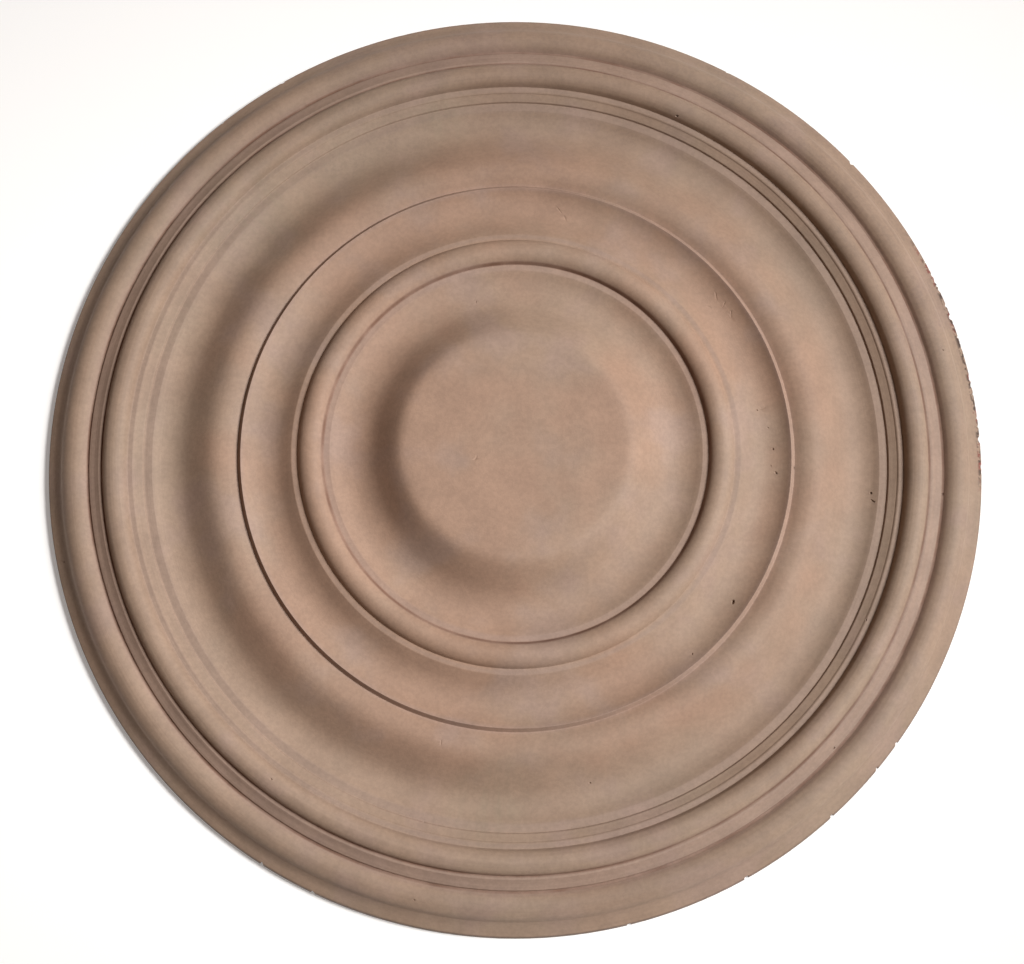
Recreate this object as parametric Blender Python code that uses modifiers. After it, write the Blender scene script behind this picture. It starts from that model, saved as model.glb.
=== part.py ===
"""A round plaster ceiling rose, cast in one piece: a raised boss inside rings of turned mouldings.

The rose lies on its back. Its flat back, which is bedded to the ceiling, is at z = 0 with the
origin at its centre, and +Z is the way the mouldings face.
"""

import math

import bpy

NAME = "ceiling_rose"
MM = 0.001

# The members of the section, from the middle outwards. Widths and heights are in millimetres.
# An angle is the fall of the surface, in degrees: positive falls outwards, negative rises outwards.
# Together they make a rose 600 mm across.
BOSS_FACE_RADIUS = 68.4
BOSS_SHOULDER_CURVE = 10.8
BOSS_FLANK_FALL = 40.9
BOSS_FLANK_WIDTH = 12.6
BOSS_HOLLOW_CURVE = 24.4
BOSS_HOLLOW_RISE = 32.0

BEAD_INNER_FILLET = 3.9
BEAD_WIDTH = 16.3
BEAD_RISE = 5.8
BEAD_OUTER_FILLET = 3.8

NECK_FALL = 33.4
NECK_FLANK_WIDTH = 6.0
NECK_HOLLOW_CURVE = 21.7
NECK_HOLLOW_RISE = 41.2
ARRIS_WALL_WIDTH = 2.3
ARRIS_WALL_DROP = 3.9

WAVE_INNER_RISE = 31.5
WAVE_INNER_CURVE = 21.2
WAVE_CROWN_CURVE = 15.2
WAVE_FALL = 34.4
WAVE_FLANK_WIDTH = 13.4
WAVE_HOLLOW_CURVE = 20.2
WAVE_HOLLOW_RISE = 32.5
WAVE_FILLET = 5.3

STEP_WALL_WIDTH = 0.3
STEP_WALL_RISE = 1.1
OVOLO_CURVE = 1.6
OVOLO_FOOT_RISE = 46.1
OVOLO_HEAD_RISE = 11.7
COVE_CURVE = 15.9
COVE_HEAD_RISE = 33.0

ROLL_INNER_FILLET = 3.2
ROLL_WIDTH = 15.8
ROLL_RISE = 6.4
ROLL_OUTER_FILLET = 2.3

CAVETTO_CURVE = 17.7
CAVETTO_HEAD_FALL = 39.4
CAVETTO_FOOT_FALL = 15.3
QUIRK_WALL_WIDTH = 0.3
QUIRK_WALL_DROP = 1.2
QUIRK_WIDTH = 1.5

RIM_ROLL_INNER_RISE = 53.2
RIM_ROLL_INNER_CURVE = 9.1
RIM_ROLL_OUTER_CURVE = 10.0
RIM_ROLL_OUTER_FALL = 78.0

LIP_CURVE = 18.7
LIP_HEAD_FALL = 53.6
LIP_FOOT_FALL = 19.6
EDGE_ROUNDING = 1.5
EDGE_FALL = 80.0
EDGE_DRAFT = 0.8
EDGE_THICKNESS = 4.5

SIDES = 64
DEGREES_A_FACET = 17.0
SHARP_ANGLE = 24.0


class Section:
    """The running line of the moulding: each member starts where the last one ended."""

    def __init__(self):
        self.points = [(0.0, 0.0)]

    def run(self, width, drop=0.0):
        """A straight stretch, level unless it drops."""
        r, z = self.points[-1]
        self.points.append((r + width, z - drop))

    def flank(self, width, fall):
        """A straight stretch at an angle."""
        self.run(width, width * math.tan(math.radians(fall)))

    def sweep(self, curve, start, end):
        """An arc from one fall to another: a crown where the fall grows, a hollow where it lessens."""
        r, z = self.points[-1]
        count = max(2, math.ceil(abs(end - start) / DEGREES_A_FACET))
        turn = 1.0 if end > start else -1.0
        first = math.radians(start)
        for i in range(1, count + 1):
            fall = math.radians(start + (end - start) * i / count)
            out = turn * curve * (math.sin(fall) - math.sin(first))
            down = turn * curve * (math.cos(first) - math.cos(fall))
            self.points.append((r + out, z - down))

    def bead(self, width, rise):
        """A round bead that stands on a level bed, as an arc through its two feet and its crest."""
        curve = (width * width / 4 + rise * rise) / (2 * rise)
        foot = math.degrees(2 * math.atan2(2 * rise, width))
        self.sweep(curve, -foot, foot)


def section_points():
    """(radius, height above the back) down the face from the middle, round the edge and along the back."""
    line = Section()
    line.run(BOSS_FACE_RADIUS)
    line.sweep(BOSS_SHOULDER_CURVE, 0.0, BOSS_FLANK_FALL)
    line.flank(BOSS_FLANK_WIDTH, BOSS_FLANK_FALL)
    line.sweep(BOSS_HOLLOW_CURVE, BOSS_FLANK_FALL, -BOSS_HOLLOW_RISE)

    line.run(BEAD_INNER_FILLET)
    line.bead(BEAD_WIDTH, BEAD_RISE)
    line.run(BEAD_OUTER_FILLET)

    line.flank(NECK_FLANK_WIDTH, NECK_FALL)
    line.sweep(NECK_HOLLOW_CURVE, NECK_FALL, -NECK_HOLLOW_RISE)
    line.run(ARRIS_WALL_WIDTH, ARRIS_WALL_DROP)

    line.sweep(WAVE_INNER_CURVE, -WAVE_INNER_RISE, 0.0)
    line.sweep(WAVE_CROWN_CURVE, 0.0, WAVE_FALL)
    line.flank(WAVE_FLANK_WIDTH, WAVE_FALL)
    line.sweep(WAVE_HOLLOW_CURVE, WAVE_FALL, -WAVE_HOLLOW_RISE)
    line.run(WAVE_FILLET)

    line.run(STEP_WALL_WIDTH, -STEP_WALL_RISE)
    line.sweep(OVOLO_CURVE, -OVOLO_FOOT_RISE, -OVOLO_HEAD_RISE)
    line.sweep(COVE_CURVE, -OVOLO_HEAD_RISE, -COVE_HEAD_RISE)

    line.run(ROLL_INNER_FILLET)
    line.bead(ROLL_WIDTH, ROLL_RISE)
    line.run(ROLL_OUTER_FILLET)

    line.sweep(CAVETTO_CURVE, CAVETTO_HEAD_FALL, CAVETTO_FOOT_FALL)
    line.run(QUIRK_WALL_WIDTH, QUIRK_WALL_DROP)
    line.run(QUIRK_WIDTH)

    line.sweep(RIM_ROLL_INNER_CURVE, -RIM_ROLL_INNER_RISE, 0.0)
    line.sweep(RIM_ROLL_OUTER_CURVE, 0.0, RIM_ROLL_OUTER_FALL)
    line.sweep(LIP_CURVE, LIP_HEAD_FALL, LIP_FOOT_FALL)
    line.sweep(EDGE_ROUNDING, LIP_FOOT_FALL, EDGE_FALL)
    line.run(EDGE_DRAFT, EDGE_THICKNESS)

    back = line.points[-1][1]
    face = [(r * MM, (z - back) * MM) for r, z in line.points]
    return face + [(0.0, 0.0)]


def plaster():
    """Cast gypsum plaster, unpainted, buff with a pink cast: matt and slightly chalky."""
    material = bpy.data.materials.new("cast_plaster")
    material.use_nodes = True
    shader = material.node_tree.nodes["Principled BSDF"]
    shader.inputs["Base Color"].default_value = (0.413, 0.275, 0.195, 1.0)
    shader.inputs["Roughness"].default_value = 0.8
    shader.inputs["Metallic"].default_value = 0.0
    return material


def turned(name, points, material, collection):
    """The solid that a section makes when it is turned once round the Z axis."""
    line = bpy.data.meshes.new(name + "_section")
    edges = [(i, i + 1) for i in range(len(points) - 1)]
    line.from_pydata([(r, 0.0, z) for r, z in points], edges, [])
    guide = bpy.data.objects.new(name + "_section", line)
    bpy.context.scene.collection.objects.link(guide)

    screw = guide.modifiers.new("turn", "SCREW")
    screw.axis = "Z"
    screw.angle = math.tau
    screw.steps = SIDES
    screw.render_steps = SIDES
    screw.use_merge_vertices = True
    screw.merge_threshold = 0.00001

    graph = bpy.context.evaluated_depsgraph_get()
    mesh = bpy.data.meshes.new_from_object(guide.evaluated_get(graph))
    mesh.name = name
    mesh.materials.append(material)
    mesh.shade_smooth()
    mesh.set_sharp_from_angle(angle=math.radians(SHARP_ANGLE))
    bpy.data.objects.remove(guide)
    bpy.data.meshes.remove(line)

    solid = bpy.data.objects.new(name, mesh)
    collection.objects.link(solid)
    return solid


def main():
    for old in list(bpy.data.objects):
        bpy.data.objects.remove(old)
    collection = bpy.data.collections.new("ceiling rose")
    bpy.context.scene.collection.children.link(collection)
    turned(NAME, section_points(), plaster(), collection)


main()
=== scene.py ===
# %% [markdown]
# # A plaster ceiling rose
# The rose is one casting in gypsum plaster, as it comes from its mould: unpainted, buff with a pink
# cast. It lies on its back, with its mouldings up, the way the photograph shows it. Everything here
# is in the frame of the solid model: metres, +Z up, the centre of the rose's flat back at the origin.

# %% The frame that this scene works in
import math
import random

import bmesh
import bpy
import numpy as np
from mathutils import Matrix, Vector, noise


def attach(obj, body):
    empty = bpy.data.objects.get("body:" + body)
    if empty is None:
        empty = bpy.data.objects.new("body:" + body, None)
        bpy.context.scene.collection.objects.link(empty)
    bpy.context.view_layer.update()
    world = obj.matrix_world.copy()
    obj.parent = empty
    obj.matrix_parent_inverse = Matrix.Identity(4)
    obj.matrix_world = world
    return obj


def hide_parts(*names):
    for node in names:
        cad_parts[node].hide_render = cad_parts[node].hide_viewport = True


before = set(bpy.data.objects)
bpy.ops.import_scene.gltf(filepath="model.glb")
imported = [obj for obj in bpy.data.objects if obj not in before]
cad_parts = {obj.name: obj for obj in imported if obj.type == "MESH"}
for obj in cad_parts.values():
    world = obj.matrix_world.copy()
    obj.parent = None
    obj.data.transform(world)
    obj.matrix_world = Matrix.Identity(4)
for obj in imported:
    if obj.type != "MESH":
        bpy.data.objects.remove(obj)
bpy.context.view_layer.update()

MM = 0.001

# %% [markdown]
# ## The section
# A plain rose is run like a cornice. A zinc template with the section cut into it turns about a
# pivot over wet plaster, and the mould is taken from that model. So the whole form is one line, and
# each stretch of it is a member with a width and a height. The names and values are those of the
# solid. A fall is an angle in degrees: positive falls outwards, negative rises outwards.

# %% The members of the section, in millimetres and degrees
BOSS_FACE_RADIUS = 68.4
BOSS_SHOULDER_CURVE = 10.8
BOSS_FLANK_FALL = 40.9
BOSS_FLANK_WIDTH = 12.6
BOSS_HOLLOW_CURVE = 24.4
BOSS_HOLLOW_RISE = 32.0

BEAD_INNER_FILLET = 3.9
BEAD_WIDTH = 16.3
BEAD_RISE = 5.8
BEAD_OUTER_FILLET = 3.8

NECK_FALL = 33.4
NECK_FLANK_WIDTH = 6.0
NECK_HOLLOW_CURVE = 21.7
NECK_HOLLOW_RISE = 41.2
ARRIS_WALL_WIDTH = 2.3
ARRIS_WALL_DROP = 3.9

WAVE_INNER_RISE = 31.5
WAVE_INNER_CURVE = 21.2
WAVE_CROWN_CURVE = 15.2
WAVE_FALL = 34.4
WAVE_FLANK_WIDTH = 13.4
WAVE_HOLLOW_CURVE = 20.2
WAVE_HOLLOW_RISE = 32.5
WAVE_FILLET = 5.3

STEP_WALL_WIDTH = 0.3
STEP_WALL_RISE = 1.1
OVOLO_CURVE = 1.6
OVOLO_FOOT_RISE = 46.1
OVOLO_HEAD_RISE = 11.7
COVE_CURVE = 15.9
COVE_HEAD_RISE = 33.0

ROLL_INNER_FILLET = 3.2
ROLL_WIDTH = 15.8
ROLL_RISE = 6.4
ROLL_OUTER_FILLET = 2.3

CAVETTO_CURVE = 17.7
CAVETTO_HEAD_FALL = 39.4
CAVETTO_FOOT_FALL = 15.3
QUIRK_WALL_WIDTH = 0.3
QUIRK_WALL_DROP = 1.2
QUIRK_WIDTH = 1.5

RIM_ROLL_INNER_RISE = 53.2
RIM_ROLL_INNER_CURVE = 9.1
RIM_ROLL_OUTER_CURVE = 10.0
RIM_ROLL_OUTER_FALL = 78.0

LIP_CURVE = 18.7
LIP_HEAD_FALL = 53.6
LIP_FOOT_FALL = 19.6
EDGE_ROUNDING = 1.5
EDGE_FALL = 80.0
EDGE_DRAFT = 0.8
EDGE_THICKNESS = 4.5


# %% [markdown]
# The template's line is laid out member by member, each from where the last one ended. An arc is cut
# into short steps here, because the light shows every flat on a smooth hollow.

# %% The running line
DEGREES_A_FACET = 3.0


class Section:
    """The running line of the moulding: each member starts where the last one ended."""

    def __init__(self):
        self.points = [(0.0, 0.0)]

    def run(self, width, drop=0.0):
        """A straight stretch, level unless it drops."""
        r, z = self.points[-1]
        self.points.append((r + width, z - drop))

    def flank(self, width, fall):
        """A straight stretch at an angle."""
        self.run(width, width * math.tan(math.radians(fall)))

    def sweep(self, curve, start, end):
        """An arc from one fall to another: a crown where the fall grows, a hollow where it lessens."""
        r, z = self.points[-1]
        count = max(2, math.ceil(abs(end - start) / DEGREES_A_FACET))
        turn = 1.0 if end > start else -1.0
        first = math.radians(start)
        for i in range(1, count + 1):
            fall = math.radians(start + (end - start) * i / count)
            out = turn * curve * (math.sin(fall) - math.sin(first))
            down = turn * curve * (math.cos(first) - math.cos(fall))
            self.points.append((r + out, z - down))

    def bead(self, width, rise):
        """A round bead that stands on a level bed, as an arc through its two feet and its crest."""
        curve = (width * width / 4 + rise * rise) / (2 * rise)
        foot = math.degrees(2 * math.atan2(2 * rise, width))
        self.sweep(curve, -foot, foot)


def section_points():
    """(radius, height above the back) in millimetres, from the boss's middle to the edge's foot."""
    line = Section()
    line.run(BOSS_FACE_RADIUS)
    line.sweep(BOSS_SHOULDER_CURVE, 0.0, BOSS_FLANK_FALL)
    line.flank(BOSS_FLANK_WIDTH, BOSS_FLANK_FALL)
    line.sweep(BOSS_HOLLOW_CURVE, BOSS_FLANK_FALL, -BOSS_HOLLOW_RISE)

    line.run(BEAD_INNER_FILLET)
    line.bead(BEAD_WIDTH, BEAD_RISE)
    line.run(BEAD_OUTER_FILLET)

    line.flank(NECK_FLANK_WIDTH, NECK_FALL)
    line.sweep(NECK_HOLLOW_CURVE, NECK_FALL, -NECK_HOLLOW_RISE)
    line.run(ARRIS_WALL_WIDTH, ARRIS_WALL_DROP)

    line.sweep(WAVE_INNER_CURVE, -WAVE_INNER_RISE, 0.0)
    line.sweep(WAVE_CROWN_CURVE, 0.0, WAVE_FALL)
    line.flank(WAVE_FLANK_WIDTH, WAVE_FALL)
    line.sweep(WAVE_HOLLOW_CURVE, WAVE_FALL, -WAVE_HOLLOW_RISE)
    line.run(WAVE_FILLET)

    line.run(STEP_WALL_WIDTH, -STEP_WALL_RISE)
    line.sweep(OVOLO_CURVE, -OVOLO_FOOT_RISE, -OVOLO_HEAD_RISE)
    line.sweep(COVE_CURVE, -OVOLO_HEAD_RISE, -COVE_HEAD_RISE)

    line.run(ROLL_INNER_FILLET)
    line.bead(ROLL_WIDTH, ROLL_RISE)
    line.run(ROLL_OUTER_FILLET)

    line.sweep(CAVETTO_CURVE, CAVETTO_HEAD_FALL, CAVETTO_FOOT_FALL)
    line.run(QUIRK_WALL_WIDTH, QUIRK_WALL_DROP)
    line.run(QUIRK_WIDTH)

    line.sweep(RIM_ROLL_INNER_CURVE, -RIM_ROLL_INNER_RISE, 0.0)
    line.sweep(RIM_ROLL_OUTER_CURVE, 0.0, RIM_ROLL_OUTER_FALL)
    line.sweep(LIP_CURVE, LIP_HEAD_FALL, LIP_FOOT_FALL)
    line.sweep(EDGE_ROUNDING, LIP_FOOT_FALL, EDGE_FALL)
    line.run(EDGE_DRAFT, EDGE_THICKNESS)

    back = line.points[-1][1]
    return [(r, z - back) for r, z in line.points]


template_line = section_points()
print("the template's line has", len(template_line), "points, radius", template_line[-1][0], "mm")

# %% [markdown]
# Wet plaster drags behind the template, so no edge of a run moulding is quite sharp. In the
# photograph the two broad flanks also flow softly into the hollows below them. A bevel would give
# every edge one radius. Smoothing along the line can have a reach of its own at each place: a third
# of a millimetre at the narrow quirks and fillets, and a few millimetres on the flanks.

# %% Soft edges along the line
LINE_STEP = 0.1
SMOOTHING_ROUNDS = 2500
EDGE_REACH = 0.35
FLANK_REACH = 2.6
BOSS_FLANK_ZONE = (62.0, 98.0)
WAVE_FLANK_ZONE = (192.0, 222.0)
ZONE_FADE = 8.0
STEEPEST_TURN = 6.0
LONGEST_STEP = 3.4


def resampled(points, step):
    """The same line with points at even steps along it."""
    line = np.array(points)
    lengths = np.hypot(*np.diff(line, axis=0).T)
    along = np.concatenate([[0.0], np.cumsum(lengths)])
    places = np.linspace(0.0, along[-1], int(along[-1] / step) + 1)
    return np.stack([np.interp(places, along, line[:, 0]), np.interp(places, along, line[:, 1])], axis=1)


def zone_share(radius, zone):
    """1 inside a zone, falling smoothly to 0 over ZONE_FADE outside it."""
    outside = np.maximum(zone[0] - radius, radius - zone[1])
    share = np.clip(1.0 - outside / ZONE_FADE, 0.0, 1.0)
    return share * share * (3.0 - 2.0 * share)


def softened(line):
    """Each point moves towards its neighbours, which rounds an edge by its reach."""
    broad = np.maximum(zone_share(line[:, 0], BOSS_FLANK_ZONE), zone_share(line[:, 0], WAVE_FLANK_ZONE))
    reach = EDGE_REACH + (FLANK_REACH - EDGE_REACH) * broad
    pull = (reach / LINE_STEP) ** 2 / SMOOTHING_ROUNDS / 2.0
    line = line.copy()
    for _ in range(SMOOTHING_ROUNDS):
        bend = line[:-2] - 2.0 * line[1:-1] + line[2:]
        line[1:-1] += pull[1:-1, None] * bend
    return line


def thinned(line, turn, step):
    """Fewer points: one where the line has turned by some degrees, or run on for some millimetres."""
    heading = np.degrees(np.arctan2(np.diff(line[:, 1]), np.diff(line[:, 0])))
    kept = [0]
    for i in range(1, len(line) - 1):
        turned = abs(heading[i] - heading[kept[-1]])
        gone = np.hypot(*(line[i] - line[kept[-1]]))
        if turned > turn or gone > step:
            kept.append(i)
    kept.append(len(line) - 1)
    return line[kept]


face_line = thinned(softened(resampled(template_line, LINE_STEP)), STEEPEST_TURN, LONGEST_STEP)
print("the softened line keeps", len(face_line), "points")

# %% [markdown]
# ## The casting
# The line is turned once about the axis, and closed by a flat back, which is struck off level with
# the mould's edge. A casting is never quite true: the face wanders by a fraction of a millimetre,
# and the light catches it as faint, broad patches on the plain members.

# %% Turning the line
SIDES = 208
WANDER_DEPTH = 0.12
WANDER_SIZE = 55.0
RING_WANDER = 0.08
RING_WANDER_SHARE = 0.4
RING_WANDER_FINER = 3.1
SECTION_FOOT = 2.0
SECTION_FOOT_FADE = 4.0
WELD = 0.00001


def turned(name, line):
    """A closed mesh of revolution: the face line, then straight back to the axis underneath."""
    shape = bmesh.new()
    corners = [shape.verts.new((r * MM, 0.0, z * MM)) for r, z in line]
    corners.append(shape.verts.new((0.0, 0.0, 0.0)))
    edges = [shape.edges.new(pair) for pair in zip(corners, corners[1:])]
    bmesh.ops.spin(shape, geom=corners + edges, cent=(0, 0, 0), axis=(0, 0, 1), angle=math.tau,
                   steps=SIDES, use_merge=True)
    bmesh.ops.remove_doubles(shape, verts=shape.verts, dist=WELD)
    bmesh.ops.recalc_face_normals(shape, faces=shape.faces)
    mesh = bpy.data.meshes.new(name)
    shape.to_mesh(mesh)
    shape.free()
    mesh.shade_smooth()
    piece = bpy.data.objects.new(name, mesh)
    bpy.context.scene.collection.objects.link(piece)
    return piece


def wandered(piece):
    """Moves the face up and down by a slow noise, and leaves the back flat."""
    for vertex in piece.data.vertices:
        height = vertex.co.z / MM
        if height > SECTION_FOOT:
            place = vertex.co / MM / WANDER_SIZE
            finer = noise.noise(place * RING_WANDER_FINER) * RING_WANDER * RING_WANDER_SHARE
            lift = noise.noise(place) * WANDER_DEPTH + finer
            vertex.co.z += lift * min(1.0, (height - SECTION_FOOT) / SECTION_FOOT_FADE) * MM


rose = turned("rose_casting", face_line)
wandered(rose)
print("the casting has", len(rose.data.polygons), "faces")

# %% [markdown]
# ## The camera's place
# The camera comes first, because the marks on the plaster are placed by where the photograph shows
# them. It looks almost straight down from the near side, and is rolled a little. Its place was
# fitted to the outline and to the centres of the rings, which shift as they stand higher.

# %% The camera
PICTURE_WIDTH = 1024
PICTURE_HEIGHT = 964
LENS = 63.9
SENSOR = 36.0
CAMERA_TILT = 10.54
CAMERA_ROLL = 1.89
CAMERA_DISTANCE = 1.169
CAMERA_AIM = Vector((-0.0020, -0.0146, 0.0))


def photograph_camera():
    """Tilted off the vertical about X, then rolled a little about its own view line."""
    camera = bpy.data.cameras.new("camera")
    camera.lens = LENS
    camera.sensor_width = SENSOR
    holder = bpy.data.objects.new("camera", camera)
    tilt = Matrix.Rotation(math.radians(CAMERA_TILT), 4, "X")
    roll = Matrix.Rotation(math.radians(CAMERA_ROLL), 4, "Z")
    away = Matrix.Translation((0, 0, CAMERA_DISTANCE))
    holder.matrix_world = Matrix.Translation(CAMERA_AIM) @ tilt @ roll @ away
    bpy.context.scene.collection.objects.link(holder)
    bpy.context.scene.camera = holder
    return holder


def sight_line(camera, across, down):
    """Where the camera stands, and the direction in which it sees a pixel of the photograph."""
    pixel = SENSOR / PICTURE_WIDTH
    right = (across - PICTURE_WIDTH / 2) * pixel
    up = (PICTURE_HEIGHT / 2 - down) * pixel
    place = camera.matrix_world.translation
    return place, (camera.matrix_world.to_3x3() @ Vector((right, up, -LENS))).normalized()


camera = photograph_camera()
print("the camera stands at", camera.matrix_world.translation)

# %% [markdown]
# ## Pits, scratches and chips
# Cast plaster has small pits, where air was caught. The photograph also shows a few shallow
# scratches, nicks in the thin rim, and one rough stretch of it. They could be painted as bump, but
# the light falls into a real hole, so each is a small uneven lump that is cut out of the casting.
# Pits, scratches and nicks lie where the photograph shows them. Their depths are guessed, and the
# chips of the rough stretch are placed by a seeded random row.

# %% The marks: pixel across and down, length, width and depth in millimetres, and turn in degrees
PITS = [
    (733, 602, 3.4, 2.4, 1.6, 20), (871, 493, 2.2, 1.6, 1.3, 60), (873, 501, 3.6, 1.3, 1.2, 65),
    (773, 449, 1.9, 1.5, 0.9, 0), (776, 473, 2.6, 1.5, 1.0, 50), (771, 466, 1.4, 0.8, 0.5, 10),
    (794, 468, 2.0, 1.2, 0.7, 0), (943, 494, 2.0, 1.4, 0.8, 0), (677, 116, 2.2, 1.6, 0.9, 30),
    (834, 748, 2.0, 1.5, 0.9, 0), (271, 779, 1.8, 1.4, 0.8, 0), (692, 654, 1.8, 1.4, 0.8, 0),
    (590, 783, 1.8, 1.3, 0.8, 0), (866, 620, 1.7, 1.3, 0.8, 0), (64, 562, 2.2, 1.4, 0.8, 80),
    (424, 822, 1.6, 1.2, 0.7, 0), (414, 900, 1.8, 1.3, 0.7, 0), (757, 410, 1.6, 1.1, 0.6, 30),
    (768, 428, 1.5, 1.0, 0.5, 70), (943, 350, 1.8, 1.0, 0.6, 50), (476, 302, 2.4, 0.7, 0.4, 75),
]
SCRATCHES = [
    (716, 296, 6.0, 1.5, 0.22, 150), (724, 304, 7.0, 1.2, 0.20, 120), (709, 307, 4.0, 1.4, 0.20, 35),
    (731, 314, 5.0, 1.3, 0.20, 140), (559, 210, 8.0, 1.2, 0.20, 140), (565, 218, 5.0, 1.2, 0.18, 120),
    (762, 409, 5.0, 1.2, 0.20, 100), (476, 458, 4.0, 1.1, 0.16, 60), (441, 742, 6.0, 1.2, 0.20, 95),
]
# A nick has its pixel and its length alone.
RIM_NICKS = [
    (284, 85, 5.0), (224, 125, 3.0), (727, 74, 4.0), (851, 164, 4.0), (895, 743, 4.0), (876, 768, 3.0),
    (832, 816, 3.5), (747, 878, 4.0), (629, 923, 3.0), (262, 863, 3.0), (313, 891, 3.0),
]
ROUGH_RIM_FROM = (924, 259)
ROUGH_RIM_TO = (981, 481)
ROUGH_RIM_CHIPS = 46
CHIP_LENGTHS = (1.6, 6.0)
CHIP_HEIGHTS = (3.0, 9.0)
CHIP_DEPTHS = (3.4, 5.4)
CHIP_SHIFTS = (0.2, 0.9)
CHIP_DROPS = (0.5, 2.5)
FULL_NICK_HEIGHT = 10.0
# Metres from the axis and above the back.
RIM_EDGE_RADIUS = 0.2992
RIM_EDGE_HEIGHT = 0.0040
CHIP_JITTER = 0.4
LUMP_UNEVENNESS = 0.14
LUMP_RADIUS = 0.5
MARKS_SEED = 7


def lump(shape, place, outward, size, turn, chance):
    """Adds an uneven ball to the mesh, with its short side along the surface's normal."""
    made = bmesh.ops.create_icosphere(shape, subdivisions=2, radius=LUMP_RADIUS)["verts"]
    for vertex in made:
        vertex.co *= 1.0 + chance.uniform(-LUMP_UNEVENNESS, LUMP_UNEVENNESS)
    stand = outward.to_track_quat("Z", "Y").to_matrix().to_4x4()
    scale = Matrix.Diagonal((size[0] * MM, size[1] * MM, size[2] * MM, 1.0))
    turned_by = Matrix.Rotation(math.radians(turn), 4, "Z")
    bmesh.ops.transform(shape, verts=made, matrix=Matrix.Translation(place) @ stand @ turned_by @ scale)


def rim_azimuth(across, down):
    """The direction from the axis, in the rim's plane, of a pixel on the outline."""
    start, sight = sight_line(camera, across, down)
    spot = start + sight * ((RIM_EDGE_HEIGHT - start.z) / sight.z)
    return math.atan2(spot.y, spot.x)


def chip_rim(shape, azimuth, length, height, chance):
    """A chip out of the rim's edge, as long along the rim as it says, and as high."""
    outward = Vector((math.cos(azimuth), math.sin(azimuth), 0.0))
    place = outward * (RIM_EDGE_RADIUS + chance.uniform(*CHIP_SHIFTS) * MM)
    place.z = RIM_EDGE_HEIGHT - chance.uniform(*CHIP_DROPS) * MM
    lump(shape, place, outward, (length, height, chance.uniform(*CHIP_DEPTHS)), 0.0, chance)


def marks():
    """All the lumps to cut away, as one mesh."""
    chance = random.Random(MARKS_SEED)
    shape = bmesh.new()
    for across, down, length, width, depth, turn in PITS + SCRATCHES:
        start, sight = sight_line(camera, across, down)
        hit, place, outward, _ = rose.ray_cast(start, sight)
        if not hit:
            raise ValueError("the mark at pixel %d, %d misses the casting" % (across, down))
        # Half of the lump stands out of the surface, so it is twice as deep as the mark.
        lump(shape, place, outward, (length, width, 2.0 * depth), turn, chance)
    for across, down, length in RIM_NICKS:
        chip_rim(shape, rim_azimuth(across, down), length, FULL_NICK_HEIGHT, chance)
    first = rim_azimuth(*ROUGH_RIM_FROM)
    last = rim_azimuth(*ROUGH_RIM_TO)
    for i in range(ROUGH_RIM_CHIPS):
        share = (i + chance.uniform(-CHIP_JITTER, CHIP_JITTER)) / ROUGH_RIM_CHIPS
        length = chance.uniform(*CHIP_LENGTHS)
        height = chance.uniform(*CHIP_HEIGHTS)
        chip_rim(shape, first + (last - first) * share, length, height, chance)
    mesh = bpy.data.meshes.new("marks")
    shape.to_mesh(mesh)
    shape.free()
    return bpy.data.objects.new("marks", mesh)


print(len(PITS), "pits,", len(SCRATCHES), "scratches,", len(RIM_NICKS), "nicks,", ROUGH_RIM_CHIPS, "chips")

# %% [markdown]
# A Boolean takes the lumps away, and leaves a hole with a real wall at each. It also leaves slivers
# thinner than a hair, which are welded, so that the casting stays one closed skin.

# %% Cutting the marks away
SLIVER = 0.00002
MARK_EDGE_ANGLE = 38.0


def cut_away(piece, tool):
    """Subtracts the tool from the piece, for good, and removes the tool."""
    bpy.context.scene.collection.objects.link(tool)
    cut = piece.modifiers.new("marks", "BOOLEAN")
    cut.operation = "DIFFERENCE"
    cut.solver = "EXACT"
    cut.use_self = True
    cut.object = tool
    graph = bpy.context.evaluated_depsgraph_get()
    whole = piece.data
    piece.data = bpy.data.meshes.new_from_object(piece.evaluated_get(graph))
    piece.modifiers.clear()
    bpy.data.meshes.remove(whole)
    bpy.data.objects.remove(tool)
    piece.data.name = piece.name


def tidied(mesh):
    """Welds the slivers that the cut leaves, and returns how many edges don't join just two faces."""
    shape = bmesh.new()
    shape.from_mesh(mesh)
    bmesh.ops.triangulate(shape, faces=[face for face in shape.faces if len(face.verts) > 4])
    bmesh.ops.remove_doubles(shape, verts=shape.verts, dist=SLIVER)
    bmesh.ops.dissolve_degenerate(shape, edges=shape.edges, dist=SLIVER)
    open_edges = sum(1 for edge in shape.edges if len(edge.link_faces) != 2)
    shape.to_mesh(mesh)
    shape.free()
    return open_edges


bpy.context.view_layer.update()
cut_away(rose, marks())
print("edges that don't join two faces:", tidied(rose.data))
rose.data.shade_smooth()
rose.data.set_sharp_from_angle(angle=math.radians(MARK_EDGE_ANGLE))
rose.data.calc_loop_triangles()
print("with its marks the casting has", len(rose.data.loop_triangles), "triangles")

# %% [markdown]
# ## The plaster
# The real thing looks like gypsum plaster as it leaves the mould: bare, matt, and buff with a pink
# cast. It has no paint, so the eye reads soft stains in one dull surface. An image could draw them,
# but procedural noise has no seams and reads the part's own coordinates, so it is used here. Every
# stain is a share between 0 and 1 that lays a second colour over the first. What left the stains
# isn't known, so they are named for their look. A few layers are painted shade, laid on the same way.

# %% One helper for colours and one for nodes
def from_hex(code):
    """An sRGB colour, written as 0xRRGGBB, as the linear values that a shader takes."""
    parts = [(code >> shift & 255) / 255 for shift in (16, 8, 0)]
    return tuple(((part + 0.055) / 1.055) ** 2.4 for part in parts) + (1.0,)


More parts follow.
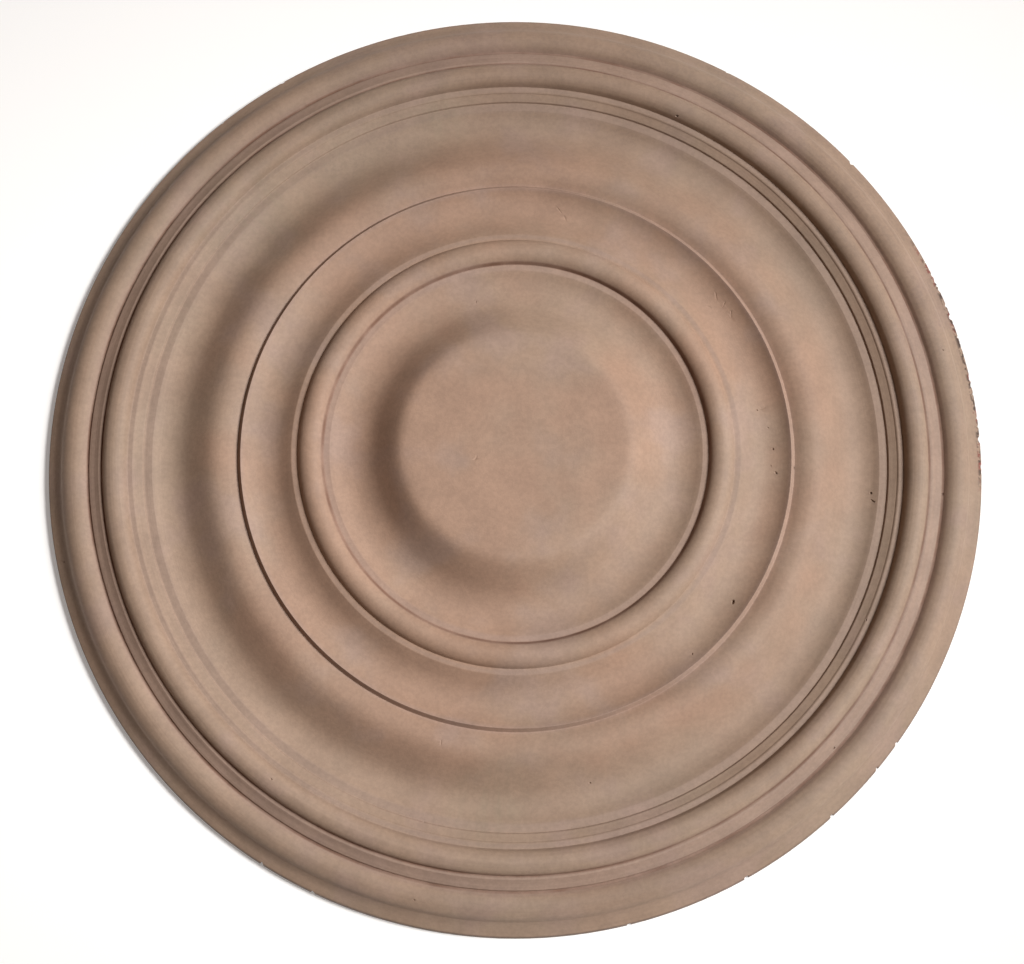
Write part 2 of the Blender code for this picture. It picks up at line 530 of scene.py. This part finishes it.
def add_node(tree, kind, inputs=(), output=0, **settings):
    """Adds a node with its settings, links or sets its inputs, and returns one of its outputs."""
    node = tree.nodes.new(kind)
    for name, value in settings.items():
        setattr(node, name, value)
    for name, value in inputs.items() if isinstance(inputs, dict) else enumerate(inputs):
        if isinstance(value, bpy.types.NodeSocket):
            tree.links.new(value, node.inputs[name])
        else:
            node.inputs[name].default_value = value
    return node.outputs[output]


SMOOTH = {"interpolation_type": "SMOOTHSTEP"}
COLOURS = {"data_type": "RGBA"}
MIXED_COLOUR = 2
BUFF = from_hex(0xA1836F)
print("the buff of the plaster is", BUFF)

# %% [markdown]
# Three patterns cover all the stains. One comes and goes in patches of a real size. One is a noise
# that is stretched along the rings or across them, and closes on itself round the axis. One is a
# set of rings between two radii, whose edges fade.

# %% The patterns
BAND_FADE = 1.6
NOISE_ROUGHNESS = 0.6


def in_patches(tree, place, size, detail, roughness, limits, shares):
    """A share that goes from one value to another between two levels of a noise, in patches."""
    level = add_node(tree, "ShaderNodeTexNoise", {"Vector": place, "Scale": 1.0 / (size * MM),
                                                  "Detail": detail, "Roughness": roughness})
    return add_node(tree, "ShaderNodeMapRange", (level, *limits, *shares), **SMOOTH)


def round_axis(tree, flat, ring, turns, rings, detail):
    """A noise stretched along the rings or across them, without a seam."""
    across = add_node(tree, "ShaderNodeSeparateXYZ",
                      (add_node(tree, "ShaderNodeVectorMath", (flat,), operation="NORMALIZE"),))
    along = across.node.outputs["Y"]
    place = add_node(tree, "ShaderNodeCombineXYZ",
                     (add_node(tree, "ShaderNodeMath", (across, turns), operation="MULTIPLY"),
                      add_node(tree, "ShaderNodeMath", (along, turns), operation="MULTIPLY"),
                      add_node(tree, "ShaderNodeMath", (ring, rings), operation="MULTIPLY")))
    return add_node(tree, "ShaderNodeTexNoise", {"Vector": place, "Scale": 1.0, "Detail": detail,
                                                 "Roughness": NOISE_ROUGHNESS})


def in_bands(tree, ring, limits):
    """A share of 1 inside each of the rings between two radii, fading at their edges."""
    share = 0.0
    for start, end in limits:
        rise = add_node(tree, "ShaderNodeMapRange",
                        (ring, start - BAND_FADE, start + BAND_FADE, 0.0, 1.0), **SMOOTH)
        fall = add_node(tree, "ShaderNodeMapRange",
                        (ring, end - BAND_FADE, end + BAND_FADE, 1.0, 0.0), **SMOOTH)
        both = add_node(tree, "ShaderNodeMath", (rise, fall), operation="MULTIPLY")
        share = add_node(tree, "ShaderNodeMath", (share, both), operation="MAXIMUM")
    return share


print("a band fades over", 2 * BAND_FADE, "mm")

# %% [markdown]
# The bare plaster is buff. It turns olive in broad patches and towards the rim, and pink on a few narrow
# members and in smaller patches. It is darker towards the rim and the far side, as painted shade where the
# light falls off.

# %% The broad colours
OLIVE = from_hex(0x9C8876)
PINK = from_hex(0xA0877B)
GREY = from_hex(0x9A8477)
# The colour of the painted shade where the light falls off, towards the rim and the far side.
FALLOFF_SHADE = from_hex(0x7A6454)
PINK_BANDS = ((117.0, 122.5), (171.5, 176.5), (261.0, 274.0))
PINK_BAND_SHARE = 0.45
GREY_BANDS = ((138.5, 140.5), (230.5, 236.5), (242.5, 246.0))
GREY_BAND_SHARE = 0.5
# A patch's size is in millimetres. Its limits are levels of the noise.
OLIVE_PATCHES = {"size": 85.0, "detail": 3.0, "roughness": 0.55,
                 "limits": (0.42, 0.66), "shares": (0.0, 0.60)}
PINK_PATCHES = {"size": 42.0, "detail": 3.0, "roughness": 0.5,
                "limits": (0.50, 0.70), "shares": (0.0, 0.5)}
# Two radii in millimetres, and the share at each.
OLIVE_OUTWARDS = (190.0, 225.0, 0.0, 0.55)
# Painted shade: darker outwards, as the light falls off there.
FALLOFF_SHADE_OUTWARDS = (120.0, 430.0, 0.0, 0.24)
SHADE_FAR_SIDE_MM_PER_METRE = 420.0


def broad_colour(tree, place, along, ring):
    """Buff, with the olive, pink and grey stains and the painted shade laid over it in turn."""
    patches = in_patches(tree, place, **OLIVE_PATCHES)
    outer = add_node(tree, "ShaderNodeMapRange", (ring, *OLIVE_OUTWARDS), **SMOOTH)
    pinks = add_node(tree, "ShaderNodeMath", (in_bands(tree, ring, PINK_BANDS), PINK_BAND_SHARE),
                     operation="MULTIPLY")
    greys = add_node(tree, "ShaderNodeMath", (in_bands(tree, ring, GREY_BANDS), GREY_BAND_SHARE),
                     operation="MULTIPLY")
    blush = in_patches(tree, place, **PINK_PATCHES)
    # Painted shade: darker towards the rim and, more, towards the far side, where the light falls off.
    lift = add_node(tree, "ShaderNodeMath", (along, SHADE_FAR_SIDE_MM_PER_METRE), operation="MULTIPLY")
    far = add_node(tree, "ShaderNodeMath", (ring, lift), operation="ADD")
    falloff_share = add_node(tree, "ShaderNodeMapRange", (far, *FALLOFF_SHADE_OUTWARDS), **SMOOTH)
    colour = BUFF
    layers = ((patches, OLIVE), (outer, OLIVE), (pinks, PINK), (greys, GREY), (blush, PINK),
              (falloff_share, FALLOFF_SHADE))
    for share, over in layers:
        colour = add_node(tree, "ShaderNodeMix", {0: share, 6: colour, 7: over}, MIXED_COLOUR, **COLOURS)
    return colour


print("olive starts at", OLIVE_OUTWARDS[0], "mm from the axis")

# %% [markdown]
# Some grey-olive stains have a place of their own in the photograph, and their edges run outwards in
# streaks. Each is a soft round patch about the point that the camera sees there, and the largest
# share wins where two meet. Three of the narrow angles hold a broken dark line of painted shade,
# where those creases fall into shadow.

# %% The stains with a place of their own, and the painted shade in the creases
STAIN_OLIVE = from_hex(0x92836F)
CREASE_SHADE_BROWN = from_hex(0x684634)
# Pixel across and down, reach in millimetres, and strength.
STAINS = [
    (262, 212, 62, 0.55), (330, 160, 50, 0.40), (443, 120, 34, 0.45), (600, 208, 36, 0.35),
    (495, 800, 44, 0.55), (180, 330, 40, 0.35),
]
# Metres above the back, at which the camera's view line meets the stain.
STAIN_HEIGHT = 0.014
STAIN_CORE = 10.0
STAIN_FADE = 15.0
STAIN_RAGGEDNESS = 30.0
STAIN_RAG_SIZE = 22.0
STREAKS_ROUND = 45.0
STREAKS_ALONG = 0.03
STREAK_DETAIL = 3.0
STREAK_STRENGTHS = (0.35, 0.65, 0.45, 1.0)
# Radii in millimetres of three creases that hold a broken dark line of painted shade.
CREASE_SHADE_RADII = (121.4, 261.8, 271.6)
CREASE_SHADE_CORE = 0.2
CREASE_SHADE_WIDTH = 1.5
CREASE_SHADE_GAPS = {"size": 30.0, "detail": 2.0, "roughness": NOISE_ROUGHNESS,
             "limits": (0.35, 0.65), "shares": (0.35, 0.75)}


def stains_and_crease_shade(tree, place, flat, ring, colour):
    """The placed stains and the lines of painted shade in the creases, laid over a colour."""
    streaks = round_axis(tree, flat, ring, STREAKS_ROUND, STREAKS_ALONG, STREAK_DETAIL)
    broken = add_node(tree, "ShaderNodeMapRange", (streaks, *STREAK_STRENGTHS), **SMOOTH)
    rag = add_node(tree, "ShaderNodeTexNoise", {"Vector": place, "Scale": 1.0 / (STAIN_RAG_SIZE * MM),
                                                "Detail": 2.0, "Roughness": NOISE_ROUGHNESS})
    ragged = add_node(tree, "ShaderNodeMath", (rag, STAIN_RAGGEDNESS), operation="MULTIPLY")
    stain = 0.0
    for across, down, reach, strength in STAINS:
        start, sight = sight_line(camera, across, down)
        centre = start + sight * ((STAIN_HEIGHT - start.z) / sight.z)
        away = add_node(tree, "ShaderNodeVectorMath", (place, centre), "Value", operation="DISTANCE")
        span = add_node(tree, "ShaderNodeMath", (away, MM), operation="DIVIDE")
        span = add_node(tree, "ShaderNodeMath", (span, ragged), operation="ADD")
        share = add_node(tree, "ShaderNodeMapRange", (span, STAIN_CORE, reach + STAIN_FADE, strength, 0.0),
                         **SMOOTH)
        stain = add_node(tree, "ShaderNodeMath", (stain, share), operation="MAXIMUM")
    stain = add_node(tree, "ShaderNodeMath", (stain, broken), operation="MULTIPLY")

    # Painted shade: a broken dark line in each of those creases.
    crease_shade = 0.0
    for line in CREASE_SHADE_RADII:
        away = add_node(tree, "ShaderNodeMath", (ring, line), operation="SUBTRACT")
        away = add_node(tree, "ShaderNodeMath", (away,), operation="ABSOLUTE")
        share = add_node(tree, "ShaderNodeMapRange", (away, CREASE_SHADE_CORE, CREASE_SHADE_WIDTH, 1.0, 0.0),
                         **SMOOTH)
        crease_shade = add_node(tree, "ShaderNodeMath", (crease_shade, share), operation="MAXIMUM")
    kept = in_patches(tree, place, **CREASE_SHADE_GAPS)
    crease_shade = add_node(tree, "ShaderNodeMath", (crease_shade, kept), operation="MULTIPLY")
    for share, over in ((stain, STAIN_OLIVE), (crease_shade, CREASE_SHADE_BROWN)):
        colour = add_node(tree, "ShaderNodeMix", {0: share, 6: colour, 7: over}, MIXED_COLOUR, **COLOURS)
    return colour


print(len(STAINS), "stains have a place of their own")

# %% [markdown]
# The edge has a thin dark line of painted shade all round. On the rough stretch it is flecked brown
# and red, so there a noise picks out flecks near the edge, and a slower one picks which of the two colours
# they take.

# %% The painted shade along the edge, and the worn flecks
# This brown is both the painted shade along the edge and the colour of the real flecks.
EDGE_SHADE_AND_FLECK_BROWN = from_hex(0x402E26)
EDGE_RED = from_hex(0x7A3A32)
# Painted shade: from the first radius outwards the edge is darkened, up to the share at the second.
EDGE_SHADE_LINE = (297.9, 299.4, 0.0, 0.55)
FLECK_REACH = (295.6, 297.8, 0.0, 1.0)
# The rough stretch begins and ends at these directions from the axis, in radians.
ROUGH_STRETCH_IN = (-0.06, 0.02, 0.0, 1.0)
ROUGH_STRETCH_OUT = (0.46, 0.60, 1.0, 0.0)
FLECKS = {"size": 3.4, "detail": 3.0, "roughness": NOISE_ROUGHNESS,
          "limits": (0.45, 0.51), "shares": (0.0, 0.95)}
RED_FLECKS = {"size": 11.0, "detail": 2.0, "roughness": 0.5,
              "limits": (0.50, 0.58), "shares": (0.0, 1.0)}


def edge_shade_and_flecks(tree, place, across, along, ring, colour):
    """The painted shade along the edge and its flecks, laid over a colour."""
    # Painted shade: a dark line all round the edge.
    edge = add_node(tree, "ShaderNodeMapRange", (ring, *EDGE_SHADE_LINE), **SMOOTH)
    colour = add_node(tree, "ShaderNodeMix", {0: edge, 6: colour, 7: EDGE_SHADE_AND_FLECK_BROWN}, MIXED_COLOUR, **COLOURS)
    azimuth = add_node(tree, "ShaderNodeMath", (along, across), operation="ARCTAN2")
    share = in_patches(tree, place, **FLECKS)
    windows = ((ring, FLECK_REACH), (azimuth, ROUGH_STRETCH_IN), (azimuth, ROUGH_STRETCH_OUT))
    for value, limits in windows:
        window = add_node(tree, "ShaderNodeMapRange", (value, *limits), **SMOOTH)
        share = add_node(tree, "ShaderNodeMath", (share, window), operation="MULTIPLY")
    reddish = in_patches(tree, place, **RED_FLECKS)
    fleck = add_node(tree, "ShaderNodeMix", {0: reddish, 6: EDGE_SHADE_AND_FLECK_BROWN, 7: EDGE_RED}, MIXED_COLOUR,
                     **COLOURS)
    return add_node(tree, "ShaderNodeMix", {0: share, 6: colour, 7: fleck}, MIXED_COLOUR, **COLOURS)


print("the edge darkens from", EDGE_SHADE_LINE[0], "mm outwards")

# %% [markdown]
# Plaster is never one flat tone. It clouds over a few centimetres and is mottled over a few
# millimetres. The outer members also have faint runs that follow the rings, as a template leaves
# them.

# %% Clouds, mottling and runs
CLOUDS = {"size": 26.0, "detail": 4.0, "roughness": 0.62,
          "limits": (0.30, 0.70), "shares": (0.93, 1.06)}
MOTTLING = {"size": 2.6, "detail": 2.0, "roughness": 0.7,
            "limits": (0.30, 0.70), "shares": (0.94, 1.06)}
RUNS_ROUND = 0.5
RUNS_ACROSS = 0.35
RUNS_DETAIL = 4.0
NOISE_MIDDLE = 0.5
OUTER_MEMBERS = (215.0, 245.0)
RUN_TONES = (0.05, 0.25)


def clouded(tree, place, flat, ring, colour):
    """A colour multiplied by the slow, the fine and the ringed changes of tone."""
    cloud = in_patches(tree, place, **CLOUDS)
    mottle = in_patches(tree, place, **MOTTLING)
    depth = add_node(tree, "ShaderNodeMapRange", (ring, *OUTER_MEMBERS, *RUN_TONES), **SMOOTH)
    runs = round_axis(tree, flat, ring, RUNS_ROUND, RUNS_ACROSS, RUNS_DETAIL)
    runs = add_node(tree, "ShaderNodeMath", (runs, NOISE_MIDDLE), operation="SUBTRACT")
    runs = add_node(tree, "ShaderNodeMath", (runs, depth), operation="MULTIPLY")
    runs = add_node(tree, "ShaderNodeMath", (runs, 1.0), operation="ADD")
    tone = add_node(tree, "ShaderNodeMath", (cloud, mottle), operation="MULTIPLY")
    tone = add_node(tree, "ShaderNodeMath", (tone, runs), operation="MULTIPLY")
    tint = add_node(tree, "ShaderNodeCombineColor", (tone, tone, tone))
    return add_node(tree, "ShaderNodeMix", {0: 1.0, 6: colour, 7: tint}, MIXED_COLOUR,
                    blend_type="MULTIPLY", **COLOURS)


print("clouds are about", CLOUDS["size"], "mm, mottling about", MOTTLING["size"], "mm")

# %% [markdown]
# The finest relief is bump, in millimetres of height: the drag of the template, one low step that
# runs round in the cove, and the grain. The real grain is finer than a pixel, so it is drawn at about
# a millimetre, where it just shows.

# %% The finest relief
DRAG_ROUND = 1.2
DRAG_ACROSS = 0.7
DRAG_DETAIL = 2.0
DRAG_DEPTHS = (0.04, 0.12)
STEP_LINE = 241.8
STEP_LINE_REACH = 0.4
STEP_LINE_RISE = 0.22
GRAIN_SIZE = 1.1
GRAIN_DEPTH = 0.05


def finest_relief(tree, place, flat, ring):
    """The normal, turned by the drag, the step and the grain."""
    drag = round_axis(tree, flat, ring, DRAG_ROUND, DRAG_ACROSS, DRAG_DETAIL)
    below = STEP_LINE - STEP_LINE_REACH
    above = STEP_LINE + STEP_LINE_REACH
    step = add_node(tree, "ShaderNodeMapRange", (ring, below, above, 0.0, STEP_LINE_RISE), **SMOOTH)
    grain = add_node(tree, "ShaderNodeTexNoise", {"Vector": place, "Scale": 1.0 / (GRAIN_SIZE * MM),
                                                  "Detail": 1.0, "Roughness": NOISE_ROUGHNESS})
    depth = add_node(tree, "ShaderNodeMapRange", (ring, *OUTER_MEMBERS, *DRAG_DEPTHS), **SMOOTH)
    drag = add_node(tree, "ShaderNodeMath", (drag, depth), operation="MULTIPLY")
    grain = add_node(tree, "ShaderNodeMath", (grain, GRAIN_DEPTH), operation="MULTIPLY")
    height = add_node(tree, "ShaderNodeMath", (drag, grain), operation="ADD")
    height = add_node(tree, "ShaderNodeMath", (height, step), operation="ADD")
    return add_node(tree, "ShaderNodeBump", {"Height": height, "Distance": 1.0 * MM, "Strength": 1.0})


print("the grain is", GRAIN_DEPTH, "mm deep")

# %% [markdown]
# Gypsum plaster is no metal, and it scatters light in all directions. A roughness of about 0.7 and a
# specular level under the usual 0.5 leave only a faint paleness on the slopes that face the lamp.
# The layers above are then put on in turn, from the broadest to the finest.

# %% The plaster's material
PLASTER_ROUGHNESS = 0.68
PLASTER_SPECULAR = 0.36


def cast_plaster():
    """Bare cast gypsum plaster."""
    material = bpy.data.materials.new("cast_gypsum_plaster_bare")
    material.use_nodes = True
    tree = material.node_tree
    shader = tree.nodes["Principled BSDF"]
    place = add_node(tree, "ShaderNodeTexCoord", output="Object")
    across = add_node(tree, "ShaderNodeSeparateXYZ", (place,))
    along = across.node.outputs["Y"]
    flat = add_node(tree, "ShaderNodeCombineXYZ", (across, along))
    radius = add_node(tree, "ShaderNodeVectorMath", (flat,), "Value", operation="LENGTH")
    ring = add_node(tree, "ShaderNodeMath", (radius, MM), operation="DIVIDE")

    colour = broad_colour(tree, place, along, ring)
    colour = stains_and_crease_shade(tree, place, flat, ring, colour)
    colour = edge_shade_and_flecks(tree, place, across, along, ring, colour)
    colour = clouded(tree, place, flat, ring, colour)
    tree.links.new(colour, shader.inputs["Base Color"])
    tree.links.new(finest_relief(tree, place, flat, ring), shader.inputs["Normal"])
    shader.inputs["Roughness"].default_value = PLASTER_ROUGHNESS
    shader.inputs["Specular IOR Level"].default_value = PLASTER_SPECULAR
    return material


rose.data.materials.clear()
rose.data.materials.append(cast_plaster())
print("the plaster's material has", len(rose.data.materials[0].node_tree.nodes), "nodes")

# %% [markdown]
# ## Floor and light
# The rose lies on a plain pale ground. A flat matt sheet does for it. The sheet glows a little, so
# that it comes out white at a light that suits the plaster, as it does in the photograph.

# %% The stage
FLOOR_SIZE = 40.0
FLOOR_DROP = 0.0004
FLOOR_GLOW = 0.25
FLOOR_WHITE = from_hex(0xECEBE9)
FLOOR_ROUGHNESS = 0.9
GLOW_WHITE = (1.0, 1.0, 1.0, 1.0)


def pale_floor():
    """A large matt sheet just under the rose."""
    shape = bmesh.new()
    bmesh.ops.create_grid(shape, x_segments=1, y_segments=1, size=FLOOR_SIZE / 2)
    mesh = bpy.data.meshes.new("floor")
    shape.to_mesh(mesh)
    shape.free()
    floor = bpy.data.objects.new("floor", mesh)
    floor.location.z = -FLOOR_DROP
    bpy.context.scene.collection.objects.link(floor)
    material = bpy.data.materials.new("plain_matt_board")
    material.use_nodes = True
    shader = material.node_tree.nodes["Principled BSDF"]
    shader.inputs["Base Color"].default_value = FLOOR_WHITE
    shader.inputs["Roughness"].default_value = FLOOR_ROUGHNESS
    shader.inputs["Emission Color"].default_value = GLOW_WHITE
    shader.inputs["Emission Strength"].default_value = FLOOR_GLOW
    mesh.materials.append(material)
    return floor


pale_floor()
print("the floor is", FLOOR_SIZE, "m across")

# %% [markdown]
# The light falls from the right at about 50 degrees, so every slope towards it is bright and every
# slope away from it is dark. The shadows have soft edges, so the lamp is large, and its beam fades a
# little towards the edges of the picture. The sky is dim and warm above and paler near the horizon,
# as the walls of a room are, and fills the shadows.

# %% The light
LAMP_AZIMUTH = 7.0
LAMP_ELEVATION = 50.0
LAMP_DISTANCE = 3.5
LAMP_RADIUS = 0.74
LAMP_POWER = 1020.0
BEAM_CENTRE = Vector((-0.070, -0.050, 0.0))
BEAM_ANGLE = 30.0
SKY_STRENGTH = 0.065
SKY_COLOUR = from_hex(0xFFBC8A)
WALL_CREAM = from_hex(0xB1A293)
WALL_TOP = 0.16
WALL_FADE = 0.30


def soft_lamp():
    """A wide spot lamp that points at the middle of its beam."""
    azimuth = math.radians(LAMP_AZIMUTH)
    elevation = math.radians(LAMP_ELEVATION)
    towards = Vector((math.cos(azimuth) * math.cos(elevation), math.sin(azimuth) * math.cos(elevation),
                      math.sin(elevation)))
    lamp = bpy.data.lights.new("soft_lamp", "SPOT")
    lamp.energy = LAMP_POWER
    lamp.shadow_soft_size = LAMP_RADIUS
    lamp.spot_size = math.radians(BEAM_ANGLE)
    lamp.spot_blend = 1.0
    holder = bpy.data.objects.new("soft_lamp", lamp)
    holder.location = towards * LAMP_DISTANCE
    holder.rotation_euler = (holder.location - BEAM_CENTRE).to_track_quat("Z", "Y").to_euler()
    bpy.context.scene.collection.objects.link(holder)
    return holder


def pale_sky():
    """Warm and dim overhead, cream near the horizon."""
    world = bpy.data.worlds.new("studio")
    world.use_nodes = True
    background = world.node_tree.nodes["Background"]
    tree = world.node_tree
    way = add_node(tree, "ShaderNodeTexCoord", output="Generated")
    up = add_node(tree, "ShaderNodeSeparateXYZ", (way,), "Z")
    dim = tuple(SKY_STRENGTH * part for part in SKY_COLOUR[:3]) + (1.0,)
    height = add_node(tree, "ShaderNodeMapRange", (up, WALL_TOP, WALL_FADE, 0.0, 1.0), **SMOOTH)
    seen = add_node(tree, "ShaderNodeMix", {0: height, 6: WALL_CREAM, 7: dim}, MIXED_COLOUR, **COLOURS)
    tree.links.new(seen, background.inputs["Color"])
    background.inputs["Strength"].default_value = 1.0
    bpy.context.scene.world = world


lamp = soft_lamp()
pale_sky()
print("the lamp stands at", lamp.location)

bpy.context.scene.view_settings.view_transform = "Standard"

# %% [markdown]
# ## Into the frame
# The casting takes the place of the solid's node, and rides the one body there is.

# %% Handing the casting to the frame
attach(rose, "root")
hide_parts("ceiling_rose")
